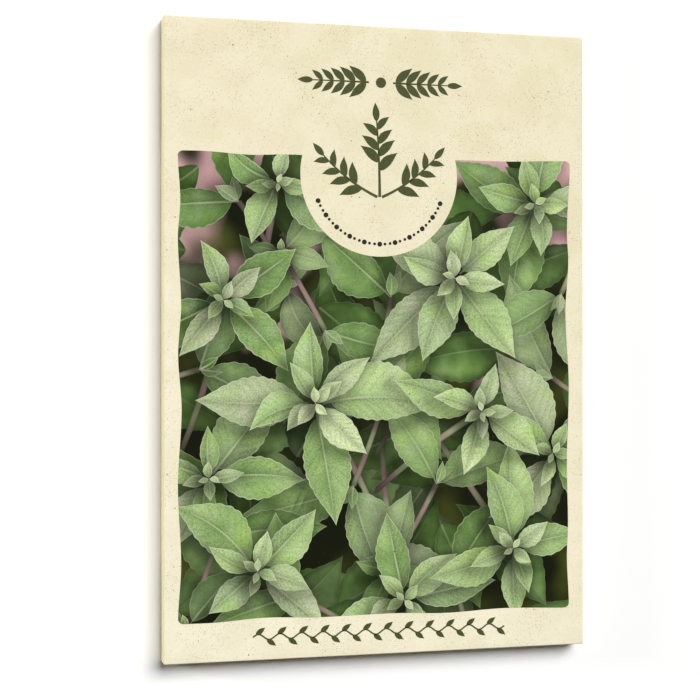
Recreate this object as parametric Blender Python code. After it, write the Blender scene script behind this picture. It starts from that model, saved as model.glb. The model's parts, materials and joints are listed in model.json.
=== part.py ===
"""A filled paper seed packet, glued shut, lying on its back with its front panel up.

One sheet of stiff paper is folded into the packet. The front panel has a side folded down along each of
its four edges. The left side carries the back panel, the right side carries the seam flap, which lies
inside behind the back panel, and the bottom and top sides carry the two flaps that close the packet over
the back panel. Thin strips of glue hold the three laps, and loose seeds lie in one layer in the pocket.

Units are metres. +X is the packet's width, +Y runs up the front panel and +Z points out of it. The origin
is on the surface that the packet lies on, under its middle.
"""
import math
import random

import bmesh
import bpy
from mathutils import Vector

# The packet
WIDTH = 0.090
HEIGHT = 0.130
EDGE_THICKNESS = 0.0048       # from the surface it lies on to the front panel's edges
PILLOW_RISE = 0.0003          # how much further the front panel's middle stands out over the seeds
PAPER = 0.0002                # the paper's thickness
LAP_GAP = 0.0003              # between two layers of paper that lap, where the glue is
FOLD_RADIUS = 0.0003          # of a fold's outer side
CORNER_SLIT = 0.0002          # between two sides where they meet at a corner
SHELF = PAPER + LAP_GAP       # one lapped layer of paper

# What the sides carry, from the lowest layer up
FLAP_LEVEL = 0.0
BACK_LEVEL = SHELF
SEAM_LEVEL = 2 * SHELF
BACK_EDGE_INSET = 0.0004      # of the back panel's free edge from the packet's right side
SEAM_FLAP_REACH = 0.012
BOTTOM_FLAP_REACH = 0.014
TOP_FLAP_REACH = 0.021
FLAP_TAPER = 0.005            # how far a flap's ends lean in at its free edge
SEAM_TAPER = 0.004

# How finely the sheet is divided
ACROSS = 12
ALONG = 16
FOLD_STEPS = 4

# Glue strips
GLUE = 0.0001
GLUE_MARGIN = 0.002           # from the flap's fold and free edge
GLUE_END_MARGIN = 0.008       # from the ends of the packet's sides

# Seeds
SEED_COUNT = 40
SEED_SHAPES = 5
SEED_LENGTH = (0.0022, 0.0027)
SEED_WIDTH = (0.0019, 0.0022)
SEED_CLEARANCE = 0.0002       # over the back panel
SEED_SPACING = 0.0034         # between the middles of two seeds
SEED_MARGIN = 0.004           # between a seed's middle and the paper beside it
SEED_BED = 0.075              # how far up the packet the seeds lie
RANDOM_SEED = 11

# Materials: base colour, roughness and metallic value
CREAM_PAPER = ((0.87, 0.81, 0.61, 1.0), 0.85, 0.0)
DRY_GLUE = ((0.80, 0.76, 0.62, 1.0), 0.45, 0.0)
SEED_HUSK = ((0.055, 0.030, 0.018, 1.0), 0.55, 0.0)


def clear_scene():
    for old in list(bpy.data.objects):
        bpy.data.objects.remove(old, do_unlink=True)


def make_material(name, finish):
    colour, roughness, metallic = finish
    material = bpy.data.materials.new(name)
    material.use_nodes = True
    shader = material.node_tree.nodes["Principled BSDF"]
    shader.inputs["Base Color"].default_value = colour
    shader.inputs["Roughness"].default_value = roughness
    shader.inputs["Metallic"].default_value = metallic
    return material


def add_object(name, mesh, material, parent):
    piece = bpy.data.objects.new(name, mesh)
    bpy.context.collection.objects.link(piece)
    if not mesh.materials:
        mesh.materials.append(material)
    piece.parent = parent
    return piece


def side_profile(level, reach):
    """The section of one side, from the front panel's edge round to its own panel's free edge.

    Each step gives the outer and the inner skin as (inset from the side, height), and says whether the
    step belongs to the upper fold. A quarter turn leads down from the front panel, the side drops straight,
    and a second quarter turn leads in under the packet to the panel or flap.
    """
    def turned(centre_height, angle):
        points = []
        for radius in (FOLD_RADIUS, FOLD_RADIUS - PAPER):
            inset = FOLD_RADIUS - radius * math.sin(angle)
            points.append((inset, centre_height + radius * math.cos(angle)))
        return points

    steps = []
    for i in range(FOLD_STEPS + 1):
        angle = math.pi / 2 * i / FOLD_STEPS
        steps.append((*turned(EDGE_THICKNESS - FOLD_RADIUS, angle), True))
    for i in range(FOLD_STEPS + 1):
        angle = math.pi / 2 * (1 + i / FOLD_STEPS)
        steps.append((*turned(level + FOLD_RADIUS, angle), False))
    steps.append(((reach, level), (reach, level + PAPER), False))
    return steps


def end_inset(inset, upper, at_fold, at_edge, reach):
    """How far a side ends before the packet's corner, at a point this far in from the side.

    Up at the front panel the two sides of a corner meet in a mitre with a thin slit. Below, the side stops
    short of its neighbour, and a flap's ends lean in towards its free edge.
    """
    slit = CORNER_SLIT / 2 * max(0.0, 1 - inset / FOLD_RADIUS)
    if upper:
        return inset + slit
    if inset <= FOLD_RADIUS:
        return min(inset, at_fold) + slit
    return at_fold + (at_edge - at_fold) * (inset - FOLD_RADIUS) / (reach - FOLD_RADIUS)


def pillow(u, v):
    """The front panel's rise, none at its edges and most in the middle; u and v run from -1 to 1."""
    return PILLOW_RISE * (1 - u * u) * (1 - v * v)


def fold_packet():
    """The whole sheet as one closed body: an outer and an inner skin, joined along the sheet's cut edge."""
    bm = bmesh.new()
    inner_of = {}

    def pair(outer, inner):
        outer_vertex = bm.verts.new(outer)
        inner_of[outer_vertex] = bm.verts.new(inner)
        return outer_vertex

    def skin(rows):
        for low, high in zip(rows, rows[1:]):
            for a, b, c, d in zip(low, low[1:], high[1:], high):
                bm.faces.new((a, b, c, d))
                bm.faces.new([inner_of[v] for v in (d, c, b, a)])

    # The front panel, between the folds
    half_x = WIDTH / 2 - FOLD_RADIUS
    half_y = HEIGHT / 2 - FOLD_RADIUS
    front = []
    for j in range(ALONG + 1):
        v = 2 * j / ALONG - 1
        row = []
        for i in range(ACROSS + 1):
            u = 2 * i / ACROSS - 1
            height = EDGE_THICKNESS + pillow(u, v)
            place = Vector((half_x * u, half_y * v, height))
            row.append(pair(place, place - Vector((0, 0, PAPER))))
        front.append(row)
    skin(front)

    # Each side: its length, its place, what it carries, and the front panel's vertices along it
    sides = (
        (HEIGHT, lambda inset, run: (inset - WIDTH / 2, run), BACK_LEVEL, WIDTH - BACK_EDGE_INSET,
         SHELF, SHELF, [row[0] for row in front]),
        (HEIGHT, lambda inset, run: (WIDTH / 2 - inset, run), SEAM_LEVEL, SEAM_FLAP_REACH,
         SHELF, SEAM_TAPER, [row[-1] for row in front]),
        (WIDTH, lambda inset, run: (run, inset - HEIGHT / 2), FLAP_LEVEL, BOTTOM_FLAP_REACH,
         FOLD_RADIUS, FLAP_TAPER, front[0]),
        (WIDTH, lambda inset, run: (run, HEIGHT / 2 - inset), FLAP_LEVEL, TOP_FLAP_REACH,
         FOLD_RADIUS, FLAP_TAPER, front[-1]),
    )
    for length, place_at, level, reach, at_fold, at_edge, first_row in sides:
        rows = [first_row]
        count = len(first_row) - 1
        for outer, inner, upper in side_profile(level, reach)[1:]:
            row = []
            for k in range(count + 1):
                ends = []
                for inset, height in (outer, inner):
                    short = end_inset(inset, upper, at_fold, at_edge, reach)
                    run = (length / 2 - short) * (2 * k / count - 1)
                    ends.append((*place_at(inset, run), height))
                row.append(pair(*ends))
            rows.append(row)
        skin(rows)

    # The sheet's cut edge
    cut_edges = [e for e in bm.edges if len(e.link_faces) == 1 and e.verts[0] in inner_of]
    for edge in cut_edges:
        a, b = edge.verts
        bm.faces.new((a, b, inner_of[b], inner_of[a]))
    bmesh.ops.recalc_face_normals(bm, faces=bm.faces[:])
    mesh = bpy.data.meshes.new("packet_paper")
    bm.to_mesh(mesh)
    bm.free()
    mesh.shade_smooth()
    mesh.set_sharp_from_angle(angle=math.radians(40))
    return mesh


def glue_strip(size_x, size_y):
    """A strip of dried glue: a flat block whose four upright edges are rounded."""
    bm = bmesh.new()
    bmesh.ops.create_cube(bm, size=1.0)
    bmesh.ops.scale(bm, vec=(size_x, size_y, GLUE), verts=bm.verts)
    upright = [e for e in bm.edges if abs(e.verts[0].co.z - e.verts[1].co.z) > GLUE / 2]
    bmesh.ops.bevel(bm, geom=upright, offset=min(size_x, size_y) * 0.3, segments=3, affect="EDGES", profile=0.5)
    mesh = bpy.data.meshes.new("glue")
    bm.to_mesh(mesh)
    bm.free()
    return mesh


def add_glue(parent):
    material = make_material("dry_glue", DRY_GLUE)
    seam_wide = SEAM_FLAP_REACH - FOLD_RADIUS - 2 * GLUE_MARGIN
    seam_middle = WIDTH / 2 - FOLD_RADIUS - GLUE_MARGIN - seam_wide / 2
    seam = add_object("glue_seam", glue_strip(seam_wide, HEIGHT - 2 * GLUE_END_MARGIN), material, parent)
    seam.location = (seam_middle, 0, BACK_LEVEL + PAPER + LAP_GAP / 2)
    for name, reach, way in (("glue_bottom_flap", BOTTOM_FLAP_REACH, -1), ("glue_top_flap", TOP_FLAP_REACH, 1)):
        deep = reach - FOLD_RADIUS - 2 * GLUE_MARGIN
        strip = add_object(name, glue_strip(WIDTH - 2 * GLUE_END_MARGIN, deep), material, parent)
        middle = HEIGHT / 2 - FOLD_RADIUS - GLUE_MARGIN - deep / 2
        strip.location = (0, way * middle, FLAP_LEVEL + PAPER + LAP_GAP / 2)


def seed_mesh(draw):
    """A seed: a round ball stretched to its length, a little flattened and blunter at one end."""
    length = draw.uniform(*SEED_LENGTH)
    width = draw.uniform(*SEED_WIDTH)
    bm = bmesh.new()
    bmesh.ops.create_icosphere(bm, subdivisions=2, radius=0.5)
    for vertex in bm.verts:
        x, y, z = vertex.co
        slim = 1 - 0.25 * x
        vertex.co = (length * x, width * slim * y, 0.93 * width * slim * z)
    mesh = bpy.data.meshes.new("seed")
    bm.to_mesh(mesh)
    bm.free()
    mesh.shade_smooth()
    return mesh


def seed_places(draw):
    """Places in the lower part of the pocket, thinning out upwards, none nearer another than the spacing."""
    left = PAPER + SEED_MARGIN - WIDTH / 2
    right = WIDTH / 2 - SEAM_FLAP_REACH - SEED_MARGIN
    bottom = PAPER + SEED_MARGIN - HEIGHT / 2
    places = []
    while len(places) < SEED_COUNT:
        spot = Vector((draw.uniform(left, right), bottom + SEED_BED * draw.random() ** 1.6))
        if all((spot - other).length > SEED_SPACING for other in places):
            places.append(spot)
    return places


def add_seeds(parent):
    draw = random.Random(RANDOM_SEED)
    material = make_material("seed_husk", SEED_HUSK)
    shapes = [seed_mesh(draw) for _ in range(SEED_SHAPES)]
    floor = BACK_LEVEL + PAPER + SEED_CLEARANCE
    for number, spot in enumerate(seed_places(draw), start=1):
        shape = shapes[number % SEED_SHAPES]
        seed = add_object(f"seed_{number:02d}", shape, material, parent)
        lowest = min(vertex.co.z for vertex in shape.vertices)
        seed.location = (spot.x, spot.y, floor - lowest)
        seed.rotation_euler = (0, 0, draw.uniform(0, 2 * math.pi))


def main():
    clear_scene()
    packet = bpy.data.objects.new("seed_packet", None)
    bpy.context.collection.objects.link(packet)
    add_object("packet_paper", fold_packet(), make_material("cream_paper", CREAM_PAPER), packet)
    add_glue(packet)
    add_seeds(packet)


main()
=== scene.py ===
"""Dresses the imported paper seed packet: its folded sheet, the print on its front, its glue and its seeds.

The packet lies on its back. x runs across its front, y up it and z out of it, in metres. The print is laid
out in millimetres on the front's own plane, measured from the front's middle, and then laid on the paper.
"""
import json
import math
from dataclasses import dataclass

import bmesh
import bpy
import numpy as np
from mathutils import Matrix, Vector
from mathutils.geometry import delaunay_2d_cdt

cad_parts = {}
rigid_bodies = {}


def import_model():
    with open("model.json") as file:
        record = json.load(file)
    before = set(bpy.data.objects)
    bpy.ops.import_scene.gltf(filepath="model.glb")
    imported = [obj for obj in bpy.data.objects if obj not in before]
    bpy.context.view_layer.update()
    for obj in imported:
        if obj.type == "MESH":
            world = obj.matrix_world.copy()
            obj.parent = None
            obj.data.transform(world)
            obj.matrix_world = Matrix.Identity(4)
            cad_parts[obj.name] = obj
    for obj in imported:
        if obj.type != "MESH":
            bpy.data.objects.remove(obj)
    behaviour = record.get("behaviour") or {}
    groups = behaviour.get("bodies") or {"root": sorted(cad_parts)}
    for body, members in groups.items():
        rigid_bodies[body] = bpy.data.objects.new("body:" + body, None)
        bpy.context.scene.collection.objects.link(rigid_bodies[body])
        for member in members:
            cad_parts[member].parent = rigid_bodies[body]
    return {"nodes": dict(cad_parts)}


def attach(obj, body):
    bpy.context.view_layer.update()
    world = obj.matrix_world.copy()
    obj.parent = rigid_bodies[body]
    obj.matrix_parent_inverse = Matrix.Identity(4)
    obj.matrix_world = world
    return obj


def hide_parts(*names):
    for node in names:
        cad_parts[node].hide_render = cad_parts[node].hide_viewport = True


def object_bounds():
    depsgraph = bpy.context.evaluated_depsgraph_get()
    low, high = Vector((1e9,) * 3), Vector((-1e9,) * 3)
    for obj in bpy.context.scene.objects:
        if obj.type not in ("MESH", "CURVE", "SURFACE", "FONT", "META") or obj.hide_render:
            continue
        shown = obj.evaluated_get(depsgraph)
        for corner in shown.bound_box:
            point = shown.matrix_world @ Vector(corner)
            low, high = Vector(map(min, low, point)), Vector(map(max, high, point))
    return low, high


for old in list(bpy.data.objects):
    bpy.data.objects.remove(old)
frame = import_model()
cad_low, cad_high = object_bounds()

MM = 0.001

# The folded sheet, from the frame and from the paper's own measures
WIDTH = cad_high.x - cad_low.x
HEIGHT = cad_high.y - cad_low.y
PILLOW_RISE = 0.30 * MM       # of the frame's front, from its edges to its middle
EDGE_LEVEL = cad_high.z - PILLOW_RISE
PAPER = 0.20 * MM
LAP_GAP = 0.30 * MM
SHELF = PAPER + LAP_GAP       # from one lap of the back to the next
FOLD_RADIUS = 0.23 * MM       # of the pressed folds, a little sharper than the frame's own
CORNER_SLIT = 0.12 * MM       # between two sides where they meet
BELLY = 0.36 * MM             # how far the back panel sags between the flaps
BELLY_RISE = 9 * MM           # over which that begins and ends, past each flap
BACK_EDGE_INSET = 0.4 * MM    # from the back panel's cut edge to the packet's side
SEAM_REACH = 12 * MM
BOTTOM_FLAP_REACH = 14 * MM
TOP_FLAP_REACH = 21 * MM
FLAP_TAPER = 5 * MM           # how much a flap's cut edge is shorter than its fold, at each end
SEAM_TAPER = 4 * MM
FOLD_STEPS = 7                # in each fold's quarter circle
CELL = 1.25 * MM              # of the front's grid
PANEL_CELL = 1.5 * CELL       # of the flaps and the back panel
VISIBLE_PILLOW = 0.22 * MM    # a little under the frame's own, which leaves room for the ink
WAVE = 0.022 * MM             # of the front's faint unevenness
INK = 0.025 * MM              # how far printed layers lie over the paper
INK_STEP = 0.002 * MM         # between ornaments' parts that lie over each other

# The picture's edge, in millimetres from the front's middle. It was cut by hand and swings in and out a
# little between these turning places, each given along its side and across it.
BOTTOM_TURNS = (
    (-42.2, -57.0), (-36.0, -57.0), (-24.0, -56.4), (-13.0, -56.8), (2.0, -56.65), (14.0, -57.05),
    (27.0, -56.6), (41.7, -57.05),
)
RIGHT_TURNS = (
    (-57.0, 41.7), (-46.0, 41.25), (-39.0, 41.5), (-26.5, 41.25), (-10.0, 41.7), (6.0, 40.95),
    (17.0, 41.6), (23.0, 41.3), (38.3, 42.0),
)
TOP_TURNS = ((-42.3, 37.95), (-38.0, 38.0), (-27.0, 37.5), (-20.0, 37.8), (26.0, 37.8), (42.0, 38.3))
LEFT_TURNS = (
    (-57.0, -42.25), (-45.0, -41.6), (-29.5, -42.25), (-14.0, -41.5), (-3.0, -42.2), (7.0, -41.6),
    (20.5, -42.25), (28.0, -41.75), (38.0, -42.3),
)
PICTURE_LEFT = -42.3
PICTURE_RIGHT = 42.0
PICTURE_TOP = 38.3
PICTURE_BOTTOM = -57.05
PICTURE_CORNER = 1.1          # the radius of its round corners
BADGE_X = -0.3
BADGE_Y = 34.1
BADGE_RADIUS = 16.85
BADGE_INNER = BADGE_RADIUS * 0.9995    # just within the straight sides that its rim is made of

# The camera, from the photograph's perspective of the front's four corners
CAMERA_FROM_FRONT = Vector((-0.0876, -0.0028, 0.310))
CAMERA_BACK = Vector((-0.2527, -0.0023, 0.9675))
CAMERA_UP = Vector((-0.0001, 1.0, 0.0023))
CAMERA_LENS = 79.98           # on a 36 mm sensor

RANDOM_SEED = 24


def srgb(red, green, blue):
    """A colour as shaders want it: each 0 to 255 value taken out of its display curve, with alpha 1."""
    values = np.array((red, green, blue)) / 255
    linear = np.where(values <= 0.04045, values / 12.92, ((values + 0.055) / 1.055) ** 2.4)
    return (*linear.tolist(), 1.0)


def smooth_step(value, low, high):
    """0 up to low and 1 from high on, and three times a square less twice a cube between."""
    way = np.clip((value - low) / (high - low), 0, 1)
    return way ** 2 * (3 - 2 * way)


# Shader maths

class Wire:
    """A value or colour in a material. Arithmetic with other wires and numbers adds Math nodes."""

    def __init__(self, finish, socket):
        self.finish = finish
        self.socket = socket

    def math(self, operation, *others, clamp=False):
        return self.finish.math(operation, self, *others, clamp=clamp)

    def __add__(self, other):
        return self.math("ADD", other)

    def __sub__(self, other):
        return self.math("SUBTRACT", other)

    def __rsub__(self, other):
        return self.finish.math("SUBTRACT", other, self)

    def __mul__(self, other):
        return self.math("MULTIPLY", other)

    def __truediv__(self, other):
        return self.math("DIVIDE", other)

    def __pow__(self, other):
        return self.math("POWER", other)

    def __abs__(self):
        return self.math("ABSOLUTE")

    __radd__ = __add__
    __rmul__ = __mul__

    def clipped(self):
        return self.math("ADD", 0.0, clamp=True)


class Finish:
    """A material being built: one method adds any node, the others are the few combinations used often."""

    def __init__(self, name, roughness, gloss):
        self.material = bpy.data.materials.new(name)
        self.material.use_nodes = True
        self.tree = self.material.node_tree
        self.shader = self.tree.nodes["Principled BSDF"]
        self.shader.inputs["Roughness"].default_value = roughness
        self.shader.inputs["Specular IOR Level"].default_value = gloss

    def node(self, kind, settings=None, values=None, output=0):
        """Adds a node, gives it its settings, then its sockets' values or links, and returns an output."""
        made = self.tree.nodes.new(kind)
        for name, value in (settings or {}).items():
            if name == "stops":
                ramp = made.color_ramp.elements
                ramp[0].position, ramp[0].color = value[0]
                ramp[1].position, ramp[1].color = value[-1]
                for place, colour in value[1:-1]:
                    ramp.new(place).color = colour
            else:
                setattr(made, name, value)
        for name, value in (values or {}).items():
            if isinstance(value, Wire):
                self.tree.links.new(value.socket, made.inputs[name])
            else:
                made.inputs[name].default_value = value
        return Wire(self, made.outputs[output])

    def math(self, operation, *values, clamp=False):
        settings = {"operation": operation, "use_clamp": clamp}
        return self.node("ShaderNodeMath", settings, dict(enumerate(values)))

    def place_mm(self):
        """The place on the piece in millimetres."""
        place = self.node("ShaderNodeTexCoord", output="Object")
        return self.node("ShaderNodeVectorMath", {"operation": "SCALE"}, {0: place, "Scale": 1 / MM})

    def stretched(self, place, x, y):
        return self.node("ShaderNodeVectorMath", {"operation": "MULTIPLY"}, {0: place, 1: (x, y, 1.0)})

    def parts(self, vector):
        """The three numbers of a vector."""
        node = self.node("ShaderNodeSeparateXYZ", None, {0: vector})
        return [Wire(self, socket) for socket in node.socket.node.outputs]

    def stored(self, name):
        return self.parts(self.node("ShaderNodeAttribute", {"attribute_name": name}, output="Vector"))

    def noise(self, place, scale, detail=2.0, roughness=0.5):
        values = {"Vector": place, "Scale": scale, "Detail": detail, "Roughness": roughness}
        return self.node("ShaderNodeTexNoise", None, values)

    def step(self, value, low, high):
        """0 below low and 1 above high, with a smooth rise between; where low is above high, it falls."""
        settings = {"interpolation_type": "SMOOTHSTEP"}
        if low <= high:
            return self.node("ShaderNodeMapRange", settings, {0: value, 1: low, 2: high})
        return self.node("ShaderNodeMapRange", settings, {0: value, 1: high, 2: low, 3: 1.0, 4: 0.0})

    def mix(self, share, first, second):
        return self.node("ShaderNodeMix", {"data_type": "RGBA"}, {0: share, 6: first, 7: second}, output=2)

    def lit(self, colour, light):
        """The colour times a number."""
        return self.node("ShaderNodeVectorMath", {"operation": "SCALE"}, {0: colour, "Scale": light})

    def feed(self, socket, wire):
        self.tree.links.new(wire.socket, self.shader.inputs[socket])

    def bump(self, height, distance, strength=1.0):
        values = {"Height": height, "Distance": distance, "Strength": strength}
        self.feed("Normal", self.node("ShaderNodeBump", None, values))


# Meshes

MERGE = 0.0001 * MM


class Patchwork:
    """Collects grids of points as the patches of one mesh. Patches that share an edge are merged there."""

    def __init__(self):
        self.points = []
        self.faces = []
        self.count = 0

    def add(self, grid):
        """Adds a grid of points, rows by columns: each cell becomes a four-sided face."""
        rows, columns = grid.shape[:2]
        index = self.count + np.arange(rows * columns).reshape(rows, columns)
        corners = (index[:-1, :-1], index[:-1, 1:], index[1:, 1:], index[1:, :-1])
        self.points.append(grid.reshape(-1, 3))
        self.faces.append(np.stack(corners, axis=-1).reshape(-1, 4))
        self.count += rows * columns

    def piece(self, name, material, sharp=40, upward=False):
        """The mesh as a piece, with its faces turned outwards or, on a flat print, all upwards. Edges that
        bend by more than sharp degrees stay sharp."""
        mesh = bpy.data.meshes.new(name)
        mesh.from_pydata(np.concatenate(self.points).tolist(), [], np.concatenate(self.faces).tolist())
        tidy = bmesh.new()
        tidy.from_mesh(mesh)
        bmesh.ops.remove_doubles(tidy, verts=tidy.verts, dist=MERGE)
        bmesh.ops.recalc_face_normals(tidy, faces=tidy.faces)
        if upward:
            tidy.normal_update()
            bmesh.ops.reverse_faces(tidy, faces=[face for face in tidy.faces if face.normal.z < 0])
        tidy.to_mesh(mesh)
        tidy.free()
        mesh.shade_smooth()
        mesh.set_sharp_from_angle(angle=math.radians(sharp))
        return add_piece(name, mesh, material)


def add_piece(name, mesh, material):
    piece = bpy.data.objects.new(name, mesh)
    bpy.context.scene.collection.objects.link(piece)
    mesh.materials.append(material)
    return piece


# The folded sheet

def front_height(x, y):
    """The front's outer height: its edges' level, plus a pillow, the product of two parabolas, plus faint
    waves, sums of sines across the front. The waves fade out at the folds as the pillow does."""
    u = np.clip(x / (WIDTH / 2 - FOLD_RADIUS), -1, 1)
    v = np.clip(y / (HEIGHT / 2 - FOLD_RADIUS), -1, 1)
    pillow = (1 - u ** 2) * (1 - v ** 2)
    waves = np.sin(5.1 * u + 2.0 * v + 0.7) * np.sin(6.3 * v + 1.9) + 0.6 * np.sin(8.7 * u - 5.2 * v)
    fade = (1 - u ** 8) * (1 - v ** 8)
    return EDGE_LEVEL + VISIBLE_PILLOW * pillow + WAVE * waves * fade


def side_section(level, reach):
    """A side's section as (inset, height) rows for the outer and the inner skin, and which rows are upper.

    Two quarter circles, one from the front down to the side and one from the side in to its panel, with the
    straight side between them, then even steps along the panel to its free edge."""
    turn = np.linspace(0, math.pi / 2, FOLD_STEPS + 1)
    angle = np.concatenate((turn, turn + math.pi / 2))
    upper = np.arange(len(angle)) <= FOLD_STEPS
    centre = np.where(upper, EDGE_LEVEL - FOLD_RADIUS, level + FOLD_RADIUS)
    steps = max(2, round((reach - FOLD_RADIUS) / PANEL_CELL))
    along = np.linspace(FOLD_RADIUS, reach, steps + 1)[1:]
    skins = []
    for depth in (0, PAPER):
        radius = FOLD_RADIUS - depth
        inset = np.concatenate((FOLD_RADIUS - radius * np.sin(angle), along))
        height = np.concatenate((centre + radius * np.cos(angle), np.full(steps, level + depth)))
        skins.append(np.stack((inset, height), axis=-1))
    return skins[0], skins[1], np.concatenate((upper, np.zeros(steps, bool)))


def end_inset(inset, upper, at_fold, at_edge, reach):
    """How far each row of a side ends before the packet's corner: as far as it is in from the side at the
    upper fold, which mitres the corner, at most at_fold at the lower one, and then in a straight taper."""
    slit = CORNER_SLIT / 2 * np.clip(1 - inset / FOLD_RADIUS, 0, 1)
    taper = at_fold + (at_edge - at_fold) * np.clip((inset - FOLD_RADIUS) / (reach - FOLD_RADIUS), 0, 1)
    folded = np.where(inset <= FOLD_RADIUS, np.minimum(inset, at_fold), taper)
    return np.where(upper, inset, folded) + slit


def side_skin(section, upper, side, along, at_fold, at_edge, reach):
    """One skin of a side: its section's rows carried along the side, each row shortened to its own ends."""
    inset, height = section.T
    crosswise, sign = side
    length, depth = (WIDTH, HEIGHT) if crosswise else (HEIGHT, WIDTH)
    half = length / 2 - end_inset(inset, upper, at_fold, at_edge, reach)
    run = half[:, None] * along[None, :]
    across = np.broadcast_to((sign * (depth / 2 - inset))[:, None], run.shape)
    tall = np.broadcast_to(height[:, None], run.shape)
    x, y = (run, across) if crosswise else (across, run)
    return np.stack((x, y, tall), axis=-1)


def sagged(skin, inset, upper):
    """The back panel's skin let down towards what the packet lies on: most along its folded side, and not
    at all over the flaps or at its glued edge."""
    y = skin[..., 1]
    above = smooth_step(y, BOTTOM_FLAP_REACH - HEIGHT / 2, BOTTOM_FLAP_REACH - HEIGHT / 2 + BELLY_RISE)
    below = 1 - smooth_step(y, HEIGHT / 2 - TOP_FLAP_REACH - BELLY_RISE, HEIGHT / 2 - TOP_FLAP_REACH)
    share = np.where(upper, 0, 1 - smooth_step(inset, WIDTH / 4, WIDTH * 0.8))
    let_down = np.zeros_like(skin)
    let_down[..., 2] = BELLY * share[:, None] * above * below
    return skin - let_down


# Each side: whether it runs across the packet, and its sign; the level of its panel's outer face; how far
# it reaches in; and how far its ends stop short, at the fold and at the cut edge
BACK_PANEL_SIDE = (False, -1)
SIDES = (
    (BACK_PANEL_SIDE, SHELF, WIDTH - BACK_EDGE_INSET, SHELF, SHELF),
    ((False, 1), 2 * SHELF, SEAM_REACH, SHELF, SEAM_TAPER),
    ((True, -1), 0, BOTTOM_FLAP_REACH, FOLD_RADIUS, FLAP_TAPER),
    ((True, 1), 0, TOP_FLAP_REACH, FOLD_RADIUS, FLAP_TAPER),
)


def folded_sheet(material):
    """The whole sheet: outer and inner skins of the front and its four sides, closed along the cut edge."""
    across = np.linspace(-1, 1, round(WIDTH / CELL) + 1)
    along = np.linspace(-1, 1, round(HEIGHT / CELL) + 1)
    x, y = np.meshgrid(across * (WIDTH / 2 - FOLD_RADIUS), along * (HEIGHT / 2 - FOLD_RADIUS))
    height = front_height(x, y)
    sheet = Patchwork()
    for depth in (0, PAPER):
        sheet.add(np.stack((x, y, height - depth), axis=-1))
    for side, level, reach, at_fold, at_edge in SIDES:
        outer, inner, upper = side_section(level, reach)
        spread = across if side[0] else along
        skins = [side_skin(s, upper, side, spread, at_fold, at_edge, reach) for s in (outer, inner)]
        if side == BACK_PANEL_SIDE:
            skins = [sagged(skin, outer[:, 0], upper) for skin in skins]
        for skin in skins:
            sheet.add(skin)
        for edge in ((slice(None), 0), (slice(None), -1), (-1, slice(None))):
            sheet.add(np.stack([skin[edge] for skin in skins]))
    return sheet.piece("folded_sheet", material)


# The print's flat shapes, in millimetres

STALK = 0.07                  # the share of a leaf's length that is its stalk
BLADE_SKEW = 0.8              # below 1, it moves a blade's widest place towards its foot
BLADE_POWER = 0.8             # the blade's fullness at its foot
POINT_POWER = 0.4             # and how much sharper it grows to its tip


def turned(angle, along, across):
    """Points given along and across a direction, in the plan's own x and y."""
    return np.stack((along * math.cos(angle) - across * math.sin(angle),
                     along * math.sin(angle) + across * math.cos(angle)), axis=-1)


def leaf_half_width(a, stalk=STALK):
    """A leaf's half width at the share a of its length, as a share of its widest. A thin stalk comes first.
    The blade is a sine of a power of the way along it, so that it is widest before its middle, raised to a
    power that grows towards the tip and sharpens it."""
    blade = np.clip((a - stalk) / (1 - stalk), 0, 1)
    return np.sin(math.pi * blade ** BLADE_SKEW) ** (BLADE_POWER + POINT_POWER * blade)


def leaf_patch(x, y, angle, length, width, bow=0.0, rows=14, columns=5):
    """A small flat leaf as a grid: along its midrib, which bows in a parabola, by across it."""
    a, s = np.meshgrid(np.linspace(0, 1, rows), np.linspace(-1, 1, columns), indexing="ij")
    b = s * width / 2 * leaf_half_width(a, stalk=0.0) + 4 * bow * a * (1 - a)
    return turned(angle, a * length, b) + (x, y)


def ribbon_patch(x, y, width):
    """A drawn line: a path's points, set off to both sides along the path's own normal."""
    path = np.stack((x, y), axis=-1)
    way = np.gradient(path, axis=0)
    way /= np.linalg.norm(way, axis=1, keepdims=True)
    normal = np.stack((-way[:, 1], way[:, 0]), axis=-1)
    half = np.broadcast_to(np.asarray(width) / 2, x.shape)[:, None]
    return np.stack((path - normal * half, path + normal * half), axis=1)


def dot_patch(x, y, radius, sides=20):
    """A round dot: rings by directions, from a pinhole-sized middle ring out to the radius."""
    ring, angle = np.meshgrid((0.001, radius), np.linspace(0, 2 * math.pi, sides + 1), indexing="ij")
    return np.stack((x + ring * np.cos(angle), y + ring * np.sin(angle)), axis=-1)


def on_paper(plan, lift):
    """Points of the print, in millimetres, laid on the front at a height over its paper."""
    x, y = plan[..., 0] * MM, plan[..., 1] * MM
    return np.stack((x, y, front_height(x, y) + lift), axis=-1)


# Ornaments in plain ink

DIVIDER_Y = 53.3
DIVIDER_HALF = 15.0
DIVIDER_GAP = 2.6             # from the middle to where each spray's line begins
VINE_Y = -60.3
VINE_HALF = 27.0
VINE_WAVE = 4.5               # from crest to crest
ARC_INSET = 2.6               # from the badge's rim to its arc of dots


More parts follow.
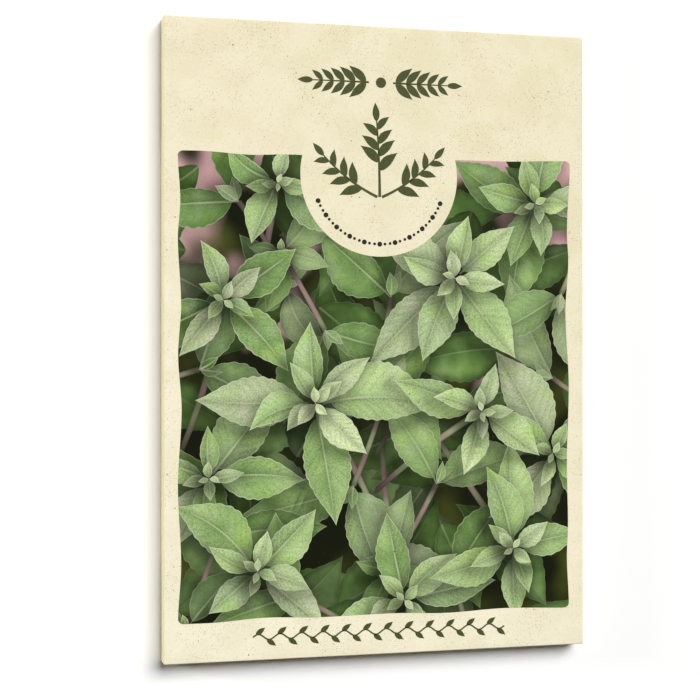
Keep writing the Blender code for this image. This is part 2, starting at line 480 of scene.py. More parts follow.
def leafy_divider():
    """Two sprays that mirror each other about a dot, each a line with five pairs of leaves and one at its
    tip. The leaves shrink evenly outwards."""
    patches = [dot_patch(0, DIVIDER_Y, 1.1, 28)]
    for sign in (-1, 1):
        x = np.linspace(DIVIDER_GAP, DIVIDER_HALF, 24)
        patches.append(ribbon_patch(sign * x, np.full_like(x, DIVIDER_Y), np.linspace(0.42, 0.2, 24)))
        outwards = 0 if sign > 0 else math.pi
        for place, size in zip(np.linspace(3.2, DIVIDER_HALF - 2.6, 5), np.linspace(4.9, 3.1, 5)):
            for up in (-1, 1):
                angle = outwards + sign * up * math.radians(42)
                bow = 0.15 * up * sign
                patches.append(leaf_patch(sign * place, DIVIDER_Y, angle, size, size * 0.36, bow))
        patches.append(leaf_patch(sign * (DIVIDER_HALF - 0.6), DIVIDER_Y, outwards, 3.4, 1.3))
    return patches


def sprig_patches(x, y, turn, length, bend, first, flip=1):
    """A small sprig: a stem that bends in a parabola from its foot, with leaves in turn on its two sides,
    smaller towards the tip, and one at the tip. First is the first leaf's share of the way up."""
    steps = 39
    along = np.linspace(0, length, steps + 1)
    stem_x, stem_y = (turned(turn, along, bend * (along / length) ** 2) + (x, y)).T
    patches = [ribbon_patch(stem_x, stem_y, np.linspace(0.6, 0.25, steps + 1))]
    for number, share in enumerate(np.linspace(first, 0.84, 7)):
        place = round(share * steps)
        way = turn + math.atan(2 * bend / length * share)
        sign = flip if number % 2 else -flip
        size = length * (0.40 - 0.20 * share)
        angle = way + sign * math.radians(48)
        patches.append(leaf_patch(stem_x[place], stem_y[place], angle, size, size * 0.38, -sign * 0.3))
    tip = turn + math.atan(2 * bend / length)
    patches.append(leaf_patch(stem_x[-3], stem_y[-3], tip, length * 0.24, length * 0.09))
    return patches


def badge_sprigs():
    """Three sprigs from one foot: one upright, and one to each side that bends up."""
    foot = BADGE_Y - 4.5
    patches = sprig_patches(BADGE_X, foot, math.pi / 2, length=16.5, bend=0.7, first=0.34)
    for sign in (-1, 1):
        turn = math.pi / 2 - sign * math.radians(66)
        patches += sprig_patches(BADGE_X + 0.5 * sign, foot, turn, length=14.5, bend=3.2 * sign,
                                 first=0.26, flip=sign)
    return patches


def badge_dots():
    """An arc of dots along the badge's lower rim, every third one large."""
    patches = []
    radius = BADGE_RADIUS - ARC_INSET
    for number, angle in enumerate(np.radians(np.linspace(203, 337, 31))):
        x, y = BADGE_X + radius * math.cos(angle), BADGE_Y + radius * math.sin(angle)
        patches.append(dot_patch(x, y, 0.3 if number % 3 else 0.52))
    return patches


def running_vine():
    """A sine wave with a small leaf on the outside of each half wave."""
    x = np.linspace(-VINE_HALF, VINE_HALF, 240)
    patches = [ribbon_patch(x, VINE_Y + 0.55 * np.sin(2 * math.pi * x / VINE_WAVE), 0.32)]
    for number in range(round(4 * VINE_HALF / VINE_WAVE)):
        place = -VINE_HALF + (number + 0.5) * VINE_WAVE / 2
        sign = 1 if math.sin(2 * math.pi * place / VINE_WAVE) > 0 else -1
        patches.append(leaf_patch(place - 0.5, VINE_Y + 0.5 * sign, sign * math.radians(36), 2.4, 1.05))
    return patches


def printed_ink(name, patches, material):
    """Flat patches as one piece. Each lies a step over the one before, in threes, so that none that cross
    share a level."""
    ink = Patchwork()
    for number, patch in enumerate(patches):
        ink.add(on_paper(patch, INK + number % 3 * INK_STEP))
    return ink.piece(name, material, upward=True)


# The printed picture: foliage of the packet's own design

BLADE, STEM, GROUND = 0, 1, 2    # the kinds of what shows at a place
STALK_HALF = 0.013            # half the width of a leaf's stalk, as a share of the leaf's length
TOOTH = 2.1                   # from tooth to tooth along a leaf, in millimetres
LEAST_TEETH = 6               # along a short leaf
TOOTH_DEPTH = 0.055           # as a share of the leaf's width
TOOTH_POWER = 3               # how narrow the notches between the teeth are
LEAN = 0.3                    # how much wider one half of a fully tilted leaf looks


@dataclass
class Leaf:
    """A leaf or stem of the picture, in millimetres and radians, from its foot. Its own axes run along it,
    as a, and across it, as b, both as shares of its length."""

    x: float
    y: float
    angle: float
    length: float
    slim: float               # its greatest half width, as a share of its length
    bow: float = 0.0          # how far its midrib bends, as such a share too
    tone: float = 0.5         # from 0, dark, to 1, pale
    detail: float = 1.0       # from 0, dim and far, to 1, sharp and near
    fold: float = 0.0         # from -1 to 1, which half is wider and in more light
    hue: float = 0.5          # from 0, green, to 1, grey and beige
    kind: int = BLADE

    def half(self, a):
        """Half the width at a. A blade follows the leaf's form on a thin stalk; a stem starts round and
        widens upwards."""
        if self.kind == STEM:
            return self.slim * (0.7 + 0.3 * a) * np.sqrt(np.clip(a / 0.04, 0, 1))
        return np.maximum(self.slim * leaf_half_width(a), STALK_HALF * self.detail ** 2 * (a < 0.3))

    def midrib(self, a):
        """The midrib's bow at a: a parabola."""
        return 4 * self.bow * a * (1 - a)

    def own(self, points):
        """Points of the plan in the leaf's own two axes."""
        x, y = points[..., 0] - self.x, points[..., 1] - self.y
        a = (x * math.cos(self.angle) + y * math.sin(self.angle)) / self.length
        b = (y * math.cos(self.angle) - x * math.sin(self.angle)) / self.length
        return a, b

    def holds(self, points):
        """Which points lie on the leaf, its teeth and the width of its nearer half counted in."""
        a, b = self.own(points)
        off = b - self.midrib(a)
        half = self.half(np.clip(a, 0, 1)) * self.scallop(a) * (1 + LEAN * self.fold * np.sign(off))
        return (a > 0) & (a < 1) & (np.abs(off) < half)

    def teeth(self):
        return max(LEAST_TEETH, round(self.length / TOOTH))

    def scallop(self, a):
        """Rounded teeth along a blade's edge, as small dips in its width: a sharpened cosine."""
        if self.kind == STEM:
            return np.ones_like(a)
        return 1 - TOOTH_DEPTH * np.abs(np.cos(math.pi * self.teeth() * a)) ** TOOTH_POWER

    def outline(self):
        """The leaf's edge: up one side and down the other. The rows lie closer towards both ends: half or,
        on a stem, all of their spacing is that of a cosine."""
        rows = 8 if self.kind == STEM else 6 * self.teeth()
        a = (1 - np.cos(np.linspace(0, math.pi, rows))) / 2
        if self.kind == BLADE:
            a = 0.5 * a + 0.5 * np.linspace(0, 1, rows)
        half = self.half(a) * self.scallop(a)
        middle = self.midrib(a)
        a = np.concatenate((a, a[::-1]))
        lean = LEAN * self.fold
        b = np.concatenate((middle + half * (1 + lean), (middle - half * (1 - lean))[::-1]))
        return self.length * turned(self.angle, a, b) + (self.x, self.y)

    def distance(self, points):
        """Roughly how far points lie outside the leaf, in millimetres: past its ends along a, and past its
        half width across."""
        a, b = self.own(points)
        near = np.clip(a, 0, 1)
        off = np.abs(b - self.midrib(near)) - self.half(near)
        beyond = np.maximum(np.abs(a - 0.5) - 0.5, 0)
        return self.length * np.hypot(np.maximum(off, 0), beyond)


def bud(draw, x, y, turn, size, tone):
    """Two crossing pairs of the youngest leaves, upright over the tip of a shoot."""
    leaves = []
    for pair, share in enumerate((1.0, 0.62)):
        for half in (0, 1):
            angle = turn + math.radians(90 * pair + 180 * half) + draw.normal(0, 0.25)
            leaves.append(Leaf(
                x, y, angle, size * share * draw.uniform(0.8, 1.1), 0.27, tone=tone + 0.08 * pair,
                bow=draw.normal(0, 0.04), fold=draw.uniform(-1, 1), hue=draw.random(),
            ))
    return leaves


def stem_up_to(draw, x, y, way, length, half_width, bend, tone, detail):
    """A stem that grows one way, with its tip at a place, and bows a little at random."""
    return Leaf(x - length * math.cos(way), y - length * math.sin(way), way, length, half_width / length,
                kind=STEM, bow=draw.normal(0, bend), tone=tone, detail=detail, hue=draw.random())


def shoot(draw, x, y, turn, size, pairs, tone, tilt, detail=1.0):
    """A shoot seen from above: crossing pairs of leaves, each pair smaller, paler and higher than the last.
    The shoot leans one way, so leaves on that side look shorter."""
    leaves = []
    for pair in range(pairs):
        grown = 1 - pair / pairs
        for half in (0, 1):
            angle = turn + pair * math.radians(101) + half * math.pi + draw.normal(0, 0.15)
            seen = 1 - 0.38 * (0.5 + 0.5 * math.cos(angle - tilt))
            length = size * (0.16 + 0.84 * grown) * seen * draw.uniform(0.88, 1.12)
            start = 0.05 * size * grown
            leaves.append(Leaf(
                x + start * math.cos(angle), y + start * math.sin(angle), angle, length,
                draw.uniform(0.195, 0.255), bow=draw.normal(0, 0.045), detail=detail,
                tone=tone + 0.24 * (1 - grown) + draw.normal(0, 0.08), fold=draw.uniform(-1, 1),
                hue=draw.random(),
            ))
    return leaves + bud(draw, x, y, turn + 0.6, size * 0.2, tone + 0.22)


def joint(draw, x, y, turn, size, tone, detail):
    """A stem's joint: two leaves that part from it, and two small ones in the angles between."""
    leaves = []
    for share, near, far in ((1.0, 0.6, 1.15), (0.24, 0.2, 0.5)):
        for side in (-1, 1):
            leaves.append(Leaf(
                x, y, turn + side * draw.uniform(near, far), size * share * draw.uniform(0.85, 1.1),
                draw.uniform(0.2, 0.26), bow=-side * draw.uniform(0.0, 0.06), detail=detail,
                tone=tone + draw.normal(0, 0.06), fold=draw.uniform(-1, 1), hue=draw.random(),
            ))
    return leaves


def sprig(draw, x, y, turn, size, tone):
    """A half-lit sprig: a stem with a joint at its tip, and a small shoot over its foot."""
    stem = stem_up_to(draw, x, y, turn, size * draw.uniform(0.75, 0.95), 0.6, 0.04, tone, 0.6)
    side_shoot = shoot(draw, stem.x, stem.y, draw.uniform(0, math.pi), size * 0.8, 2, tone - 0.05,
                       draw.uniform(0, 2 * math.pi), detail=0.55)
    return [stem] + side_shoot + joint(draw, x, y, turn, size, tone, 0.7)


BED_STEP = 11.5               # between the dim leaves of the bed, in millimetres
BED_TOP = 12.0                # over which the bed thins out and shows the soft pink behind it

# Where the half-lit sprigs stand: x, y, the way they point in degrees, leaf length and tone
SPRIGS = (
    (-30, 28, 120, 22, 0.30), (2, 9, 80, 24, 0.42), (33, 27, 200, 21, 0.36), (-38, -6, 20, 22, 0.24),
    (38, -8, 160, 23, 0.36), (-6, -30, 250, 24, 0.38), (-34, -40, 70, 22, 0.32), (16, -50, 110, 23, 0.40),
    (-12, 2, 300, 20, 0.42), (12, -30, 60, 22, 0.44), (-18, -52, 150, 20, 0.36), (40, 10, 250, 20, 0.42),
)

# Where the front shoots stand, back to front: x, y, turn, leaf length, pairs, tone and the way they lean
SHOOTS = (
    (-33, 8, 25, 23, 4, 0.38, 90), (34, 29, 70, 22, 4, 0.52, 200), (5, -54, 10, 24, 4, 0.54, 270),
    (38, -24, 120, 24, 4, 0.50, 0), (-36, -28, 60, 22, 4, 0.42, 180), (-22, 32, 150, 18, 3, 0.54, 90),
    (16, 13, 40, 28, 5, 0.62, 60), (29, -44, 95, 24, 5, 0.62, 300), (-14, -13, 5, 30, 5, 0.66, 120),
    (-26, -47, 130, 23, 4, 0.52, 240), (22, -15, 155, 20, 4, 0.66, 20),
)


def foliage(draw):
    """All leaves from the deepest to the highest: a dim bed, the front shoots' stems, half-lit sprigs, and
    the front shoots, which lean the way that their stems grow."""
    leaves = []
    for row in np.arange(PICTURE_BOTTOM - 4, PICTURE_TOP + 10, BED_STEP):
        for column in np.arange(PICTURE_LEFT - 4, PICTURE_RIGHT + 8, BED_STEP):
            if draw.random() < (0.86 if row < BED_TOP else 0.5):
                leaves.append(Leaf(
                    column + draw.normal(0, 4), row + draw.normal(0, 4), draw.uniform(0, 2 * math.pi),
                    draw.uniform(18, 29), draw.uniform(0.2, 0.27), bow=draw.normal(0, 0.05),
                    tone=draw.uniform(-0.04, 0.28), detail=draw.uniform(0.1, 0.3),
                    fold=draw.uniform(-1, 1), hue=draw.random(),
                ))
    for x, y, turn, size, pairs, tone, tilt in SHOOTS:
        way = math.radians(tilt) + draw.normal(0, 0.12)
        leaves.append(stem_up_to(draw, x, y, way, size * 1.45, 0.75, 0.05, tone, 0.7))
    for x, y, turn, size, tone in SPRIGS:
        leaves += sprig(draw, x, y, math.radians(turn), size, tone)
    for x, y, turn, size, pairs, tone, tilt in SHOOTS:
        leaves += shoot(draw, x, y, math.radians(turn), size, pairs, tone, math.radians(tilt))
    return leaves


def eased(places, turns):
    """Values between turning places: each stretch rises or falls in one smooth step."""
    along, across = np.array(turns).T
    stretch = np.clip(np.searchsorted(along, places) - 1, 0, len(along) - 2)
    way = smooth_step(places, along[stretch], along[stretch + 1])
    return across[stretch] + (across[stretch + 1] - across[stretch]) * way


INWARD = ((0, 1), (-1, 0), (0, -1), (1, 0))    # from the bottom, right, top and left sides


def picture_outline(step=0.8):
    """The picture's edge: four swinging sides, anticlockwise from the bottom, joined by quarter circles."""
    points = []
    for number, turns in enumerate((BOTTOM_TURNS, RIGHT_TURNS, TOP_TURNS, LEFT_TURNS)):
        start, end = turns[0][0] + PICTURE_CORNER, turns[-1][0] - PICTURE_CORNER
        places = np.linspace(start, end, round((end - start) / step))
        side = np.stack((places, eased(places, turns)), axis=-1)
        if number % 2:
            side = side[:, ::-1]
        if number > 1:
            side = side[::-1]
        angle = math.radians(90 * number - 90) + np.linspace(0, math.pi / 2, 8)[1:-1]
        arc = np.stack((np.cos(angle), np.sin(angle)), axis=-1) + INWARD[number]
        points += [side, side[-1] + PICTURE_CORNER * arc]
    return np.concatenate(points)


def inside(outline, points):
    """Which points lie inside a closed outline: those from which a ray to the right crosses it an odd
    number of times."""
    x, y = points[:, 0], points[:, 1]
    crossings = np.zeros(len(points), int)
    for (x0, y0), (x1, y1) in zip(outline, np.roll(outline, -1, axis=0)):
        spans = (y0 > y) != (y1 > y)
        if y0 != y1:
            crossings += spans & (x < x0 + (y - y0) * (x1 - x0) / (y1 - y0))
    return crossings % 2 == 1


def badge_circle():
    """The badge's rim as 120 points."""
    angle = np.linspace(0, 2 * math.pi, 121)[:-1]
    rim = np.stack((np.cos(angle), np.sin(angle)), axis=-1)
    return BADGE_RADIUS * rim + (BADGE_X, BADGE_Y)


GRID_SPACING = 1.6            # of extra points, so that soft shading has something to hang on
GRID_MARGIN = 2
MERGE_DISTANCE = 1e-4


def cut_plan(outlines):
    """Cuts the picture's plane, with a grid of extra points, into triangles that no outline crosses."""
    grid = np.stack(np.meshgrid(
        np.arange(PICTURE_LEFT - GRID_MARGIN, PICTURE_RIGHT + GRID_MARGIN, GRID_SPACING),
        np.arange(PICTURE_BOTTOM - GRID_MARGIN, PICTURE_TOP + GRID_MARGIN, GRID_SPACING),
    ), axis=-1).reshape(-1, 2)
    points = np.concatenate(outlines + [grid])
    edges = []
    start = 0
    for outline in outlines:
        index = start + np.arange(len(outline))
        edges.append(np.stack((index, np.roll(index, -1)), axis=-1))
        start += len(outline)
    points = [Vector(point) for point in points.tolist()]
    edges = np.concatenate(edges).tolist()
    places, _, triangles, *_ = delaunay_2d_cdt(points, edges, [], 0, MERGE_DISTANCE, False)
    return np.array([tuple(place) for place in places]), np.array(triangles)


def picture_triangles(leaves):
    """The plane's points, and the triangles of it inside the picture's edge and outside the badge."""
    border = picture_outline()
    plan, faces = cut_plan([leaf.outline() for leaf in leaves] + [border, badge_circle()])
    middles = plan[faces].mean(axis=1)
    badge = np.hypot(middles[:, 0] - BADGE_X, middles[:, 1] - BADGE_Y) < BADGE_INNER
    return plan, faces[inside(border, middles) & ~badge]


SHADE_SPREAD = 1.9            # of the soft shade that a leaf throws on those below, in millimetres
SHADE_SHIFT = (0.7, 0.9)      # from a shaded place back towards the light
SHADE_DEPTH = 0.52


def leaf_layers(leaves, corners):
    """What the picture's material needs at each triangle's three corners, as layers of three numbers.

    Every triangle belongs to the highest leaf over it, and carries that leaf's axes, form and tones. The
    shade is a product over all higher leaves of one minus a bell curve of the distance to them."""
    middles = corners.mean(axis=1)
    owner = np.full(len(corners), -1)
    for number, leaf in enumerate(leaves):
        owner[leaf.holds(middles)] = number
    layers = {name: np.zeros(corners.shape[:2] + (3,)) for name in ("place", "form", "tone", "mood")}
    layers["form"][..., 2] = GROUND
    shade = np.ones(corners.shape[:2])
    for number, leaf in enumerate(leaves):
        lower = owner < number
        reach = leaf.distance(corners[lower] + SHADE_SHIFT)
        shade[lower] *= 1 - SHADE_DEPTH * leaf.detail * np.exp(-(reach / SHADE_SPREAD) ** 2)
        own = owner == number
        a, b = leaf.own(corners[own])
        layers["place"][own] = np.stack((a, b, np.full_like(a, leaf.length)), axis=-1)
        layers["form"][own] = (leaf.slim, leaf.bow, leaf.kind)
        layers["tone"][own] = (leaf.tone, leaf.detail, 0)
        layers["mood"][own] = (leaf.fold, leaf.hue, 0)
    layers["tone"][..., 2] = shade
    return layers


def printed_picture(material):
    """The picture as one flat mesh on the paper, with its leaves' layers on it as attributes."""
    leaves = foliage(np.random.default_rng(RANDOM_SEED))
    plan, faces = picture_triangles(leaves)
    used, index = np.unique(faces, return_inverse=True)
    mesh = bpy.data.meshes.new("printed_picture")
    mesh.from_pydata(on_paper(plan[used], INK).tolist(), [], index.reshape(-1, 3).tolist())
    for name, values in leaf_layers(leaves, plan[faces]).items():
        layer = mesh.attributes.new(f"leaf_{name}", "FLOAT_VECTOR", "CORNER")
        layer.data.foreach_set("vector", values.astype(np.float32).ravel())
    mesh.shade_smooth()
    return add_piece("printed_picture", mesh, material)


# Materials

# The paper's creams. Pale and deep are the ends of its blotches and also of its painted shade, which runs
# from the foot and the left to the top right.
PAPER_PALE = srgb(244, 237, 211)
PAPER_DEEP = srgb(230, 221, 187)
PAPER_WARM = srgb(235, 224, 194)
PAPER_SIDE = srgb(229, 220, 179)
SIDE_FROM = EDGE_LEVEL / MM - 0.05    # the height, in millimetres, under which the paper turns yellower
SIDE_TO = EDGE_LEVEL / MM - 0.3
SPECK = srgb(150, 132, 92)
COARSE_SPECK = srgb(118, 102, 72)


def unfolded(finish, place):
    """A place on the paper as two numbers that both also move with the height, so that a flat pattern runs
    on over the folds and down the narrow sides."""
    x, y, z = finish.parts(place)
    return finish.node("ShaderNodeCombineXYZ", None, {0: x + z * 0.9, 1: y + z * 0.8, 2: 0.0})


def specks(finish, flat, scale, size, plain, clustered):
    """Ragged round specks in random cells, scale of them to a millimetre. Size is in cells; plain and
    clustered give the share of cells that hold one, away from a cluster and within it."""
    settings = {"voronoi_dimensions": "2D", "feature": "F1"}
    cells = finish.node("ShaderNodeTexVoronoi", settings, {"Vector": flat, "Scale": scale})
    outputs = cells.socket.node.outputs
    near = Wire(finish, outputs["Distance"])
    luck, chance, depth = finish.parts(Wire(finish, outputs["Color"]))
    cluster = finish.step(finish.noise(flat, 0.1, 3.0), 0.46, 0.62)
    chosen = finish.step(cluster * (clustered - plain) + plain - chance, -0.02, 0.02)
    ragged = (finish.noise(flat, scale * 4, 1.0) - 0.5) * size
    spot = finish.step(near + ragged - (luck + 0.35) * size, 0.2 * size, -0.2 * size)
    return spot * chosen * (depth * 0.6 + 0.4)


def cream_paper():
    """Recycled paper: faint blotches of three creams under a painted shade that leaves it palest towards the
    foot and the left, a fine grain, and fine and coarse specks that lie in clusters. The narrow sides are
    yellower."""
    finish = Finish("cream paper", 0.85, 0.2)
    place = finish.place_mm()
    flat = unfolded(finish, place)
    x, y, z = finish.parts(place)
    blotch = finish.step(finish.noise(flat, 0.12, 3.0), 0.38, 0.62)
    warm = finish.step(finish.noise(flat, 0.055, 2.0), 0.5, 0.75)
    # painted shade: a ramp that makes the paper deeper towards the top right and paler towards the foot and
    # the left
    painted_shade_ramp = finish.step(y + x * 0.6, 85.0, -90.0)
    colour = finish.mix(blotch * 0.35 + painted_shade_ramp * 0.65, PAPER_DEEP, PAPER_PALE)
    colour = finish.mix(warm * 0.6, colour, PAPER_WARM)
    colour = finish.mix(finish.step(z, SIDE_FROM, SIDE_TO) * 0.85, colour, PAPER_SIDE)
    grain = finish.noise(flat, 1.6, 4.0, 0.75)
    colour = finish.lit(colour, grain * 0.24 + 0.88)
    fine = specks(finish, flat, scale=2.7, size=0.2, plain=0.08, clustered=0.62)
    coarse = specks(finish, flat, scale=0.6, size=0.07, plain=0.05, clustered=0.30)
    colour = finish.mix(fine * 0.75, colour, SPECK)
    colour = finish.mix(coarse * 0.95, colour, COARSE_SPECK)
    finish.feed("Base Color", colour)
    fibres = finish.noise(finish.stretched(flat, 1.0, 0.35), 3.2, 4.0, 0.6)
    finish.bump(fibres * 0.6 + grain * 0.4, 0.03 * MM, 0.35)
    return finish.material


def flat_ink(name, full, thin):
    """Ink of one colour that the paper's grain shows through a little."""
    finish = Finish(name, 0.7, 0.3)
    place = finish.place_mm()
    worn = finish.noise(place, 3.5, 3.0, 0.7)
    finish.feed("Base Color", finish.mix(finish.step(worn, 0.35, 0.75), srgb(*full), srgb(*thin)))
    finish.bump(worn, 0.02 * MM, 0.3)
    return finish.material


def stem_colour(finish, flat, round_light, a, tone, down):
    """Bark in patches of pinkish brown and grey green, lit as a round stem and deep in shade at its foot."""
    bark = finish.step(finish.noise(flat, 0.12, 1.0), 0.42, 0.58)
    stem = finish.mix(bark, srgb(168, 140, 134), srgb(170, 178, 138))
    sunk = finish.step(a, 0.0, 0.55) * 0.85 + 0.15
    return finish.lit(stem, round_light * sunk * (tone * 0.6 + 0.5) * (down * 0.6 + 0.7))


def ground_colour(finish, flat, up, down):
    """The blurred ground behind all leaves: dark greens, and soft pinks that gather towards the top."""
    light = finish.step(finish.noise(flat, 0.07, 1.5), 0.42, 0.68)
    ground = finish.mix(light, srgb(22, 24, 8), srgb(70, 76, 30))
    pink_patch = finish.step(finish.noise(flat, 0.05, 1.5) + up * 0.006, 0.56, 0.70)
    pink = finish.mix(finish.noise(flat, 0.12, 1.0), srgb(212, 162, 162), srgb(238, 198, 196))
    return finish.lit(finish.mix(pink_patch * 0.95, ground, pink), down * 0.5 + 0.75)


def leaf_print():
    """The picture's colours, worked out from each leaf's own axes.

    Across a blade there are a pale midrib, side veins that lean towards the tip, a pebbled skin, one half
    in more light than the other, and a pale downy rim. Over it all lie the paper's own specks."""
    finish = Finish("leaf print", 0.7, 0.06)
    place = finish.place_mm()
    flat = unfolded(finish, place)
    a, b, length = finish.stored("leaf_place")
    slim, bow, kind = finish.stored("leaf_form")
    tone, detail, shade = finish.stored("leaf_tone")
    fold, hue = finish.stored("leaf_mood")[:2]
    up = finish.parts(place)[1]

    # Where a point lies on its blade: across it from 0 at the midrib to 1 at the edge, and in millimetres
    blade = ((a - STALK) / (1 - STALK)).clipped()
    sine = ((blade ** BLADE_SKEW) * math.pi).math("SINE").math("MAXIMUM", 0.001)
    teeth = (length / TOOTH).math("ROUND").math("MAXIMUM", LEAST_TEETH)
    dips = abs((teeth * a * math.pi).math("COSINE")) ** TOOTH_POWER
    half = slim * sine ** (blade * POINT_POWER + BLADE_POWER) * (1 - dips * TOOTH_DEPTH)
    off = b - bow * a * (1 - a) * 4
    signed = off / half.math("MAXIMUM", 0.004)
    side = finish.step(signed, -0.10, 0.10)
    lean = 1 + fold * (side - 0.5) * (2 * LEAN)
    across = (abs(signed) / lean).clipped()
    rib_mm = abs(off) * length
    edge_mm = (1 - across) * half * lean * length

    # Noises: slow light, greenish glow, downy grain and fine pebbles
    wander = finish.noise(flat, 0.16, 2.0)
    glow = finish.step(finish.noise(finish.stretched(flat, 1.0, 1.2), 0.13, 1.0), 0.5, 0.72)
    bloom = finish.step(finish.noise(finish.stretched(flat, 1.3, 0.9), 0.15, 1.0), 0.5, 0.75)
    down = finish.noise(flat, 3.3, 3.0, 0.8)
    settings = {"voronoi_dimensions": "2D", "feature": "SMOOTH_F1"}
    pebble = finish.node("ShaderNodeTexVoronoi", settings, {"Vector": flat, "Scale": 2.2})

    # The blade's green, by its tone, and the greyer, beige and brighter leaves among them
    colours = {"stops": (
        (0.0, srgb(44, 62, 24)), (0.25, srgb(84, 114, 56)), (0.5, srgb(132, 161, 98)),
        (0.75, srgb(166, 189, 130)), (1.0, srgb(202, 216, 164)),
    )}
    toned = tone + (wander - 0.5) * 0.5 + (a - 0.4) * 0.12
    colour = finish.node("ShaderNodeValToRGB", colours, {0: toned.clipped()})
    grey = finish.step(hue, 0.45, 0.95) * 0.55
    beige = finish.mix(finish.step(hue, 0.7, 0.95), srgb(170, 184, 150), srgb(184, 184, 158))
    colour = finish.mix((grey + bloom * 0.35) * detail, colour, beige)
    colour = finish.mix(glow * detail * 0.38, colour, srgb(160, 192, 96))

    # Veins, which count up along the blade, and the light that they, the pebbles and the halves catch
    vein_run = a * 10.5 - across * 1.9 - (1 - a) * across * 0.8 + side * 0.35
    vein = abs(vein_run.math("FRACT") - 0.5) * 2
    groove = finish.step(vein, 0.80, 1.0) * finish.step(across, 1.0, 0.75)
    quilt = (1 - vein) * finish.step(across, 0.05, 0.5) * finish.step(across, 1.0, 0.8)
    crease = finish.step(rib_mm, 1.1, 0.15)
    light = 1 + fold * (side - 0.5) * 0.34
    light = light + (0.5 - abs(across - 0.55)) * 0.22
    light = light + ((quilt - 0.4) * 0.13 - groove * 0.12 - crease * 0.16) * detail
    light = light + ((0.42 - pebble) * 0.34 + (down - 0.5) * 2.1) * (detail * 0.85 + 0.15)
    light = light * (1 - finish.step(edge_mm, 1.7, 0.0) * (1 - detail) * 0.45)
    colour = finish.lit(colour, light.math("MAXIMUM", 0.2))

    # What is drawn over it: the midrib, the finest veins and the downy rim
    rib = finish.step(rib_mm - (1.15 - a) * 0.20, 0.12, -0.08) * finish.step(a, 0.97, 0.7)
    rib_colour = finish.mix(a.clipped(), srgb(196, 206, 164), srgb(168, 192, 136))
    colour = finish.mix(rib * detail * 0.75, colour, rib_colour)
    fine_vein = finish.step(vein, 0.93, 0.99) * finish.step(across, 0.8, 0.2)
    colour = finish.mix(fine_vein * detail * 0.35, colour, srgb(180, 198, 148))
    rim = finish.step(edge_mm + (down - 0.5) * 0.5, 0.28, 0.04)
    patchy = finish.step(wander, 0.3, 0.6) * 0.45 + 0.3
    colour = finish.mix(rim * detail ** 1.5 * patchy, colour, srgb(202, 212, 178))

    # Stems and ground take the blade's place, and the shade and the specks lie over all
    round_light = 1.12 - (off / slim.math("MAXIMUM", 0.01)) ** 2 * 0.7
    stem = stem_colour(finish, flat, round_light, a, tone, down)
    colour = finish.mix(finish.step(kind, STEM - 0.6, STEM - 0.4), colour, stem)
    ground = ground_colour(finish, flat, up, down)
    colour = finish.mix(finish.step(kind, GROUND - 0.6, GROUND - 0.4), colour, ground)
    deep = finish.mix(0.5, finish.lit(colour, 0.16), srgb(26, 32, 10))
    colour = finish.mix(shade, deep, colour)
    spots = specks(finish, flat, scale=0.55, size=0.085, plain=0.05, clustered=0.16)
    finish.feed("Base Color", finish.mix(spots * 0.7, colour, srgb(62, 70, 44)))
    finish.bump(down, 0.015 * MM, 0.2)
    return finish.material


def dried_glue():
    """Clouded cream glue with a gently rippled skin."""
    finish = Finish("dried glue", 0.42, 0.45)
    place = finish.place_mm()
    cloudy = finish.noise(place, 0.35, 3.0)
    finish.feed("Base Color", finish.mix(cloudy, srgb(226, 218, 192), srgb(206, 196, 164)))
    finish.bump(finish.noise(place, 1.2, 2.0), 0.05 * MM, 0.4)
    return finish.material


def seed_husk():
    """A dry dark coat: brown with blacker patches and a fine net of wrinkles."""
    finish = Finish("seed husk", 0.5, 0.4)
    place = finish.place_mm()
    patches = finish.noise(place, 0.9, 3.0)
    wrinkles = finish.node("ShaderNodeTexVoronoi", {"feature": "DISTANCE_TO_EDGE"},
                           {"Vector": place, "Scale": 5.0})
    net = finish.step(wrinkles, 0.0, 0.12)
    colour = finish.mix(patches, srgb(46, 32, 24), srgb(92, 66, 46))
    finish.feed("Base Color", finish.lit(colour, 0.75 + 0.25 * net))
    finish.bump(net, 0.03 * MM, 0.5)
    return finish.material


def pale_floor():
    """A matt white studio floor, very faintly mottled."""
    finish = Finish("pale floor", 0.9, 0.1)
    faint = finish.noise(finish.place_mm(), 0.02, 2.0)
    finish.feed("Base Color", finish.mix(faint, srgb(254, 254, 253), srgb(255, 255, 255)))
    return finish.material


# Seeds

SEED_RINGS = 14               # from one end of a seed to the other
SEED_SIDES = 22
SEED_SHARE = 0.98             # of its node's size, which keeps it clear of the paper
SEED_BLUNTNESS = 0.12


def seeds(material):
    """One mesh of all seeds. Each is a ball of latitudes by longitudes, stretched to its node's own length
    and width, blunter at one end, and turned the way the node's corners spread furthest."""
    names = sorted(name for name in frame["nodes"] if name.startswith("seed_"))
    polar = np.linspace(0, math.pi, SEED_RINGS + 1)[:, None]
    around = np.linspace(0, 2 * math.pi, SEED_SIDES + 1)
    ball = np.stack(np.broadcast_arrays(
        np.cos(polar), np.sin(polar) * np.cos(around), np.sin(polar) * np.sin(around)), axis=-1)
    loose = Patchwork()
    for name in names:
        mesh = frame["nodes"][name].data
        points = np.zeros(len(mesh.vertices) * 3)
        mesh.vertices.foreach_get("co", points)
        points = points.reshape(-1, 3)
        middle = (points.min(axis=0) + points.max(axis=0)) / 2
        flat = points[:, :2] - middle[:2]
        way = np.linalg.eigh(flat.T @ flat)[1][:, 1]
        turn = np.array(((way[0], way[1], 0), (-way[1], way[0], 0), (0, 0, 1)))
        own = (points - middle) @ turn.T
        shape = ball * SEED_SHARE * np.abs(own).max(axis=0)
        blunt = -SEED_BLUNTNESS * np.sign(np.sum(own[:, 0] * own[:, 1] ** 2))
        shape[..., 1:] *= (1 - blunt * ball[..., :1]) / (1 + abs(blunt) / 3)
        loose.add(shape @ turn + middle)
    piece = loose.piece("loose_seeds", material, sharp=60)
    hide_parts(*names)
    return piece


# The pieces

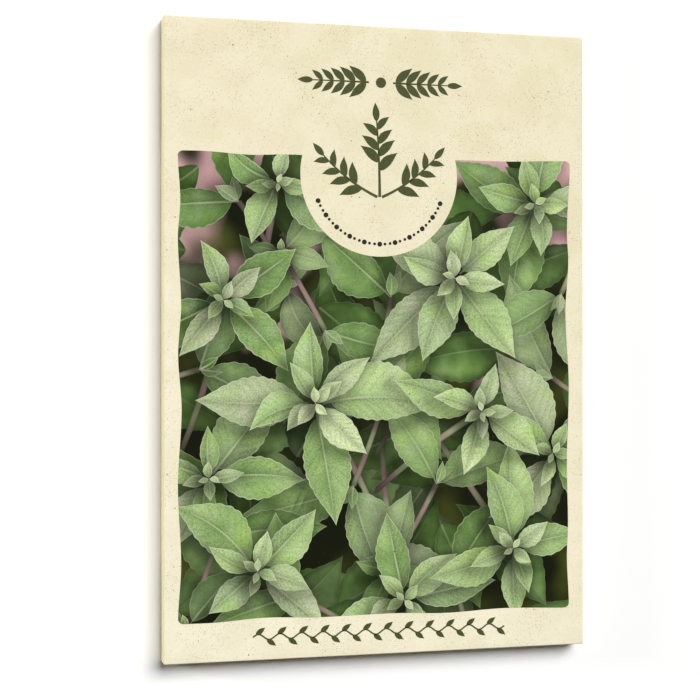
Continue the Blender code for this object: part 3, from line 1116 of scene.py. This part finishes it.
sheet = folded_sheet(cream_paper())
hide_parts("packet_paper")
picture = printed_picture(leaf_print())
ornaments = printed_ink("printed_ornaments", leafy_divider() + badge_sprigs() + running_vine(),
                        flat_ink("olive ink", (60, 69, 26), (79, 86, 42)))
dots = printed_ink("printed_dots", badge_dots(), flat_ink("black ink", (18, 14, 6), (40, 33, 22)))
loose_seeds = seeds(seed_husk())
for piece, slot in ((sheet, "cream_paper"), (picture, "cream_paper"), (ornaments, "cream_paper"),
                    (dots, "cream_paper"), (loose_seeds, "seed_husk")):
    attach(piece, "root")

glue = dried_glue()
for name in ("glue_seam", "glue_bottom_flap", "glue_top_flap"):
    node = frame["nodes"][name]
    node.data.materials.clear()
    node.data.materials.append(glue)


# The floor, the light and the camera

FLOOR_HALF = 3.0
FLOOR_DROP = 0.05 * MM        # under the packet's lowest face
floor = Patchwork()
floor_line = np.linspace(-FLOOR_HALF, FLOOR_HALF, 3)
floor_x, floor_y = np.meshgrid(floor_line, floor_line)
floor.add(np.stack((floor_x, floor_y, np.full_like(floor_x, -FLOOR_DROP)), axis=-1))
floor.piece("floor", pale_floor())


def standing(place, back, up=Vector((0, 1, 0))):
    """The matrix of a light or camera at a place, with its back turned one way and its top towards up."""
    right = up.cross(back).normalized()
    return Matrix.Translation(place) @ Matrix((right, back.cross(right), back)).transposed().to_4x4()


KEY_SLOPES = (0.37, 0.60)     # how far right and up the key light stands, per metre of its height
KEY_DISTANCE = 6.0
SIDE_PLACE = (-1.37, 0.35, 0.16)    # low on the left, and far enough up to leave the foot in shade

# Each light's name, place, size, power and colour; both look at the packet
LIGHTS = (
    ("key", KEY_DISTANCE * Vector((*KEY_SLOPES, 1)).normalized(), (4.8, 3.2), 475.0, (1.0, 1.0, 1.0)),
    ("left side", Vector(SIDE_PLACE), (0.5, 0.2), 13.0, (1.0, 0.97, 0.9)),
)
for name, place, size, power, colour in LIGHTS:
    light = bpy.data.lights.new(name, "AREA")
    light.shape = "RECTANGLE"
    light.size, light.size_y = size
    light.energy = power
    light.color = colour
    lamp = bpy.data.objects.new(name, light)
    bpy.context.scene.collection.objects.link(lamp)
    lamp.matrix_world = standing(place, place.normalized())

WORLD_LIGHT = 0.03            # the room's fill; the camera itself sees white
world = bpy.data.worlds.new("studio")
world.use_nodes = True
background = world.node_tree.nodes["Background"]
background.inputs["Color"].default_value = (1.0, 1.0, 1.0, 1.0)
seen = world.node_tree.nodes.new("ShaderNodeLightPath").outputs["Is Camera Ray"]
strength = world.node_tree.nodes.new("ShaderNodeMapRange")
world.node_tree.links.new(seen, strength.inputs["Value"])
strength.inputs["To Min"].default_value = WORLD_LIGHT
world.node_tree.links.new(strength.outputs["Result"], background.inputs["Strength"])
bpy.context.scene.world = world
bpy.context.scene.view_settings.view_transform = "Standard"

front_middle = Vector((0, 0, EDGE_LEVEL))
camera_data = bpy.data.cameras.new("camera")
camera_data.lens = CAMERA_LENS
camera_data.sensor_width = 36
camera_data.clip_start = 0.01
camera = bpy.data.objects.new("camera", camera_data)
camera.matrix_world = standing(front_middle + CAMERA_FROM_FRONT, CAMERA_BACK.normalized(), CAMERA_UP)
bpy.context.scene.collection.objects.link(camera)
bpy.context.scene.camera = camera
